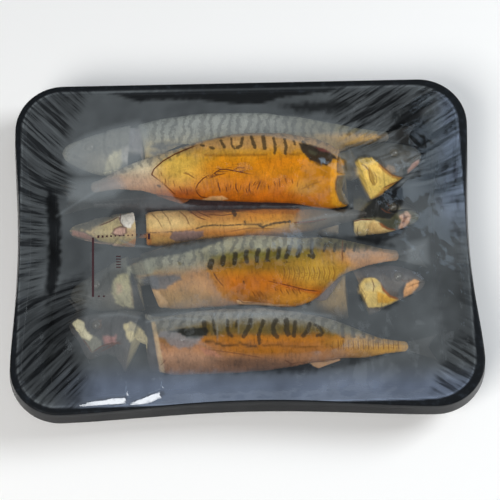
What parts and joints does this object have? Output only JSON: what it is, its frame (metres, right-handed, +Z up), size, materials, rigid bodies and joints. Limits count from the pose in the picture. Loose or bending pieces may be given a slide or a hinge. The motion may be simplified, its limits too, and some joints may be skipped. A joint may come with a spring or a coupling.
{
  "type": "pack of hot-smoked mackerel",
  "caption": "Shallow black formed tray with rounded corners, a flange and a skirt, filled with whole smoked mackerel laid head to tail under a clear film drawn tight over them.",
  "frame": {"origin": "middle of the tray's base", "axes": "+X along the tray's long side, +Y towards the side that the fishes' backs face, +Z up from the base to the film"},
  "size_m": [0.405, 0.305, 0.0611],
  "materials": {
    "black_plastic": "thin black formed plastic, slightly glossy",
    "silver_fish": "smoked fish skin, silver grey to pale gold",
    "golden_fish": "smoked fish skin, golden orange with dark marks along the back",
    "clear_film": "thin clear film, slightly hazy where it is clear of the fish"
  },
  "bodies": {
    "root": {"tray": "black_plastic", "mackerel_1": "silver_fish", "mackerel_2": "golden_fish", "mackerel_3": "golden_fish", "mackerel_4": "silver_fish", "mackerel_5": "golden_fish", "mackerel_6": "silver_fish", "mackerel_7": "golden_fish", "film": "clear_film"}
  },
  "joints": []
}
